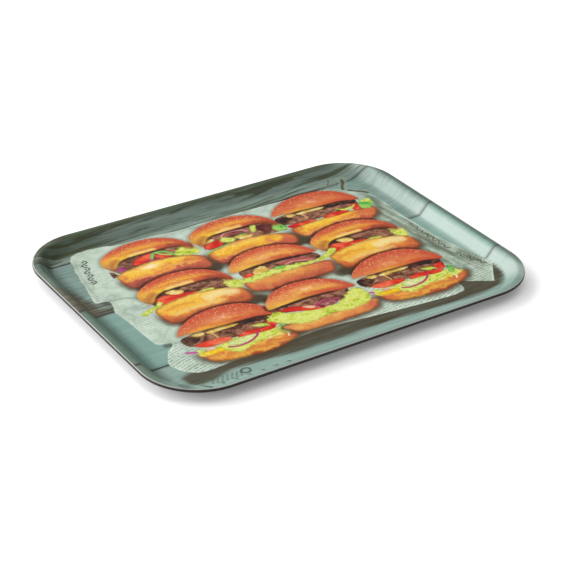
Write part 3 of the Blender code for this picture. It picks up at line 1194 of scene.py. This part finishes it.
def seeds(tree, place):
    """Scattered seeds: 1 on each, in some of the cells of a cell pattern."""
    cells = tree.nodes.new("ShaderNodeTexVoronoi")
    cells.inputs["Scale"].default_value = 0.42
    tree.links.new(place, cells.inputs["Vector"])
    has_seed = parts(tree, cells.outputs["Color"])[0].step(0.44, 0.50)
    return Field(tree, cells.outputs["Distance"]).step(0.36, 0.20) * has_seed


def printed_face_material():
    """Decor print under a clear satin melamine sheet."""
    material, tree, shader = new_material("printed_melamine", specular=0.16)
    place = attribute(tree, "print")
    x, y, _ = parts(tree, place)
    crust, newsprint, crumb = parts(tree, attribute(tree, "traits"))

    # ink over the planks; the ink's colour is already multiplied by its cover
    cover = attribute(tree, "ink", "Alpha")
    bare = mixed(tree, cover, planks(tree, x, y), BLACK)
    colour = mixed(tree, 1.0, bare, attribute(tree, "ink", "Color"), "ADD")
    marks = newsprint_marks(tree, x, y) * newsprint
    colour = mixed(tree, marks, colour, print_ink(DASH_COLOUR))
    colour = mixed(tree, seeds(tree, place) * crust * 0.8, colour, print_ink(SEED_COLOUR))

    # fine mottle of crumb, meat and leaf, and a very fine print screen
    mottle = (noise(tree, place, 0.55, 5.0, 0.75) - 0.5) * crumb * 2.2 + 1.0
    gain = mottle * (noise(tree, place, 3.0, 1.0) * 0.10 + 0.95)
    colour = mixed(tree, 1.0, colour, vector(tree, gain, gain, gain), "MULTIPLY")

    rough = noise(tree, place, 0.05, 3.0) * 0.10 + 0.33
    orange_peel = noise(tree, place, 0.35, 2.0)
    finish_shader(tree, shader, colour, rough, orange_peel, depth=0.05 * MM, strength=0.5)
    return material


def barrier_material():
    """Dark brown barrier paper, seen as a fine line along the sanded edge."""
    material, tree, shader = new_material("barrier_paper", specular=0.6)
    fibre = noise(tree, object_place(tree), 900.0)
    colour = mixed(tree, fibre.step(0.3, 0.7), linear((34, 30, 27)), linear((54, 48, 42)))
    finish_shader(tree, shader, colour, 0.42, fibre, depth=0.02 * MM, strength=0.4)
    return material


def core_material():
    """Black resin-bonded papers: fine lines along the sanded cut."""
    material, tree, shader = new_material("resin_core", specular=0.16)
    place = object_place(tree)
    x, y, z = parts(tree, place)
    sheets = noise(tree, vector(tree, x * 30.0, y * 30.0, z * 5200.0), 1.0, 2.0)
    flecks = noise(tree, place, 1600.0)
    share = sheets * 0.6 + flecks * 0.4
    colour = mixed(tree, share.step(0.35, 0.65), (0.008, 0.008, 0.008, 1), (0.022, 0.021, 0.020, 1))
    rough = flecks * 0.2 + 0.40
    finish_shader(tree, shader, colour, rough, share, depth=0.03 * MM, strength=0.5)
    return material


def backing_material():
    """Black melamine backing with a fine pressed texture and faint rubbing where it stands."""
    material, tree, shader = new_material("black_backing", specular=0.5)
    place = object_place(tree)
    pebble = noise(tree, place, 1400.0, 3.0, 0.6)
    cloudy = noise(tree, place, 14.0, 4.0, 0.6)
    colour = mixed(tree, cloudy.step(0.35, 0.7), (0.010, 0.010, 0.011, 1), (0.020, 0.020, 0.021, 1))
    x, y, _ = parts(tree, place)
    scuffs = stretched(tree, x * 60.0, y * 900.0, 3.0, 0.7).step(0.62, 0.72)
    rough = pebble * 0.2 + scuffs * 0.14 + 0.30
    finish_shader(tree, shader, colour, rough, pebble, depth=0.05 * MM, strength=0.7)
    return material


# ------------------------------------------------------------------ pieces
# pale paper at the sanded edge, partly a painted highlight
ARRIS_PAPER_AND_HIGHLIGHT = (204, 200, 190)


def arris_paper_and_highlight(picture, piece):
    """Bare the decor sheet's own pale paper where its cut edge is sanded round; the pale line is partly a
    painted highlight where the light catches the rounded edge.
    """
    spots = np.empty(3 * len(picture.x), dtype=np.float32)
    piece.data.vertices.foreach_get("co", spots)
    spots = np.abs(spots.reshape(-1, 3)[:, :2])
    corner = (HALF_LENGTH - CORNER_RADIUS, HALF_WIDTH - CORNER_RADIUS)
    past = np.maximum(spots - corner, 0.0)
    inset = CORNER_RADIUS - np.hypot(past[:, 0], past[:, 1])
    chosen = np.nonzero(inset < TOP_ARRIS)[0]
    share = 1 - fade(inset[chosen] / TOP_ARRIS, 0.80, 1.0)
    # the pale line round the edge is partly a painted highlight
    picture.lay(chosen, 0.85 * share, ARRIS_PAPER_AND_HIGHLIGHT)


def add_picture(piece, flat):
    """Draw the picture at the face's points and store it on the mesh."""
    picture = Picture(flat[:, 0].copy(), flat[:, 1].copy())
    draw_picture(picture)
    arris_paper_and_highlight(picture, piece)
    cover = picture.ink[:, 3:4]
    screen = picture.ink[:, :3] / np.maximum(cover, 1e-6)
    ink = np.hstack([printed(np.clip(screen, 0, 1)) * cover, cover])
    traits = np.stack([picture.crust, picture.newsprint, picture.crumb], axis=1)
    places = np.column_stack([flat, np.zeros(len(flat))])
    for name, kind, slot, values in (
        ("ink", "FLOAT_COLOR", "color", ink),
        ("traits", "FLOAT_VECTOR", "vector", traits),
        ("print", "FLOAT_VECTOR", "vector", places),
    ):
        stored = piece.data.attributes.new(name, kind, "POINT")
        stored.data.foreach_set(slot, values.astype(np.float32).ravel())


def build_tray():
    """The plies, each riding on the tray's only body and standing for its CAD node."""
    face, flat = printed_ply("printed_face")
    add_picture(face, flat)
    face.data.materials.append(printed_face_material())
    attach(face, "root")
    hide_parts("clear_overlay", "decor_sheet")

    for name, node, ply, material in (
        ("barrier_paper", "barrier_sheet", BARRIER_PLY, barrier_material()),
        ("resin_core", "core_board", CORE_PLY, core_material()),
        ("black_backing", "backing_sheet", BACKING_PLY, backing_material()),
    ):
        piece = plain_ply(name, ply)
        piece.data.materials.append(material)
        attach(piece, "root")
        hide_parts(node)


# ------------------------------------------------------------------ stage, lights and camera
CAMERA_TARGET = Vector((-19.5 * MM, -47.6 * MM, EDGE_HEIGHT))
CAMERA_AZIMUTH = math.radians(-33.5)
CAMERA_ELEVATION = math.radians(30.1)
CAMERA_ROLL = math.radians(0.94)
CAMERA_DISTANCE = 1.6477
CAMERA_LENS = 105.4
CAMERA_SENSOR = 36.0
FLOOR_HALF = 6.0
FLOOR_COLOUR = (0.66, 0.66, 0.66, 1.0)
FLOOR_GLOW = 0.15
SURROUND_STRENGTH = 0.42
WHITE = (1.0, 1.0, 1.0, 1.0)


def add_floor():
    """A plain pale floor that glows a little, like a product photographer's light table."""
    mesh = bpy.data.meshes.new("floor")
    mesh.from_pydata([(-FLOOR_HALF, -FLOOR_HALF, 0), (FLOOR_HALF, -FLOOR_HALF, 0),
                      (FLOOR_HALF, FLOOR_HALF, 0), (-FLOOR_HALF, FLOOR_HALF, 0)], [], [(0, 1, 2, 3)])
    floor = bpy.data.objects.new("floor", mesh)
    bpy.context.collection.objects.link(floor)
    material, _, shader = new_material("floor_white", specular=0.2)
    shader.inputs["Roughness"].default_value = 0.9
    shader.inputs["Base Color"].default_value = FLOOR_COLOUR
    shader.inputs["Emission Color"].default_value = WHITE
    shader.inputs["Emission Strength"].default_value = FLOOR_GLOW
    mesh.materials.append(material)


def add_softbox(name, toward, distance, size, power):
    """A square area light that faces the tray from a direction."""
    light = bpy.data.lights.new(name, "AREA")
    light.shape = "RECTANGLE"
    light.size, light.size_y = size
    light.energy = power
    lamp = bpy.data.objects.new(name, light)
    direction = Vector(toward).normalized()
    lamp.location = direction * distance
    lamp.rotation_euler = direction.to_track_quat("Z", "Y").to_euler()
    bpy.context.collection.objects.link(lamp)


def add_lights():
    """A broad key from the back left, a broad side light, a soft top light and a pale surround."""
    add_softbox("key_back_left", (-0.38, 0.80, 0.51), 6.0, (8.5, 6.0), 640.0)
    add_softbox("side_left", (-0.88, 0.05, 0.46), 6.0, (7.5, 4.5), 380.0)
    add_softbox("top_soft", (0.2, -0.1, 1.0), 5.0, (5.0, 5.0), 120.0)
    world = bpy.data.worlds.new("surround")
    world.use_nodes = True
    background = world.node_tree.nodes["Background"]
    background.inputs["Color"].default_value = WHITE
    background.inputs["Strength"].default_value = SURROUND_STRENGTH
    bpy.context.scene.world = world


def add_camera():
    """The camera, aimed a little left of and in front of the tray's middle."""
    back = Vector((math.sin(CAMERA_AZIMUTH) * math.cos(CAMERA_ELEVATION),
                   -math.cos(CAMERA_AZIMUTH) * math.cos(CAMERA_ELEVATION),
                   math.sin(CAMERA_ELEVATION)))
    level = Vector((0, 0, 1)).cross(back).normalized()
    upright = back.cross(level)
    right = level * math.cos(CAMERA_ROLL) + upright * math.sin(CAMERA_ROLL)
    up = back.cross(right)
    camera = bpy.data.objects.new("camera", bpy.data.cameras.new("camera"))
    camera.data.lens = CAMERA_LENS
    camera.data.sensor_width = CAMERA_SENSOR
    placed = Matrix((right, up, back)).transposed().to_4x4()
    placed.translation = CAMERA_TARGET + back * CAMERA_DISTANCE
    camera.matrix_world = placed
    bpy.context.collection.objects.link(camera)
    bpy.context.scene.camera = camera


add_camera()
add_floor()
add_lights()
bpy.context.scene.view_settings.view_transform = "Standard"
build_tray()
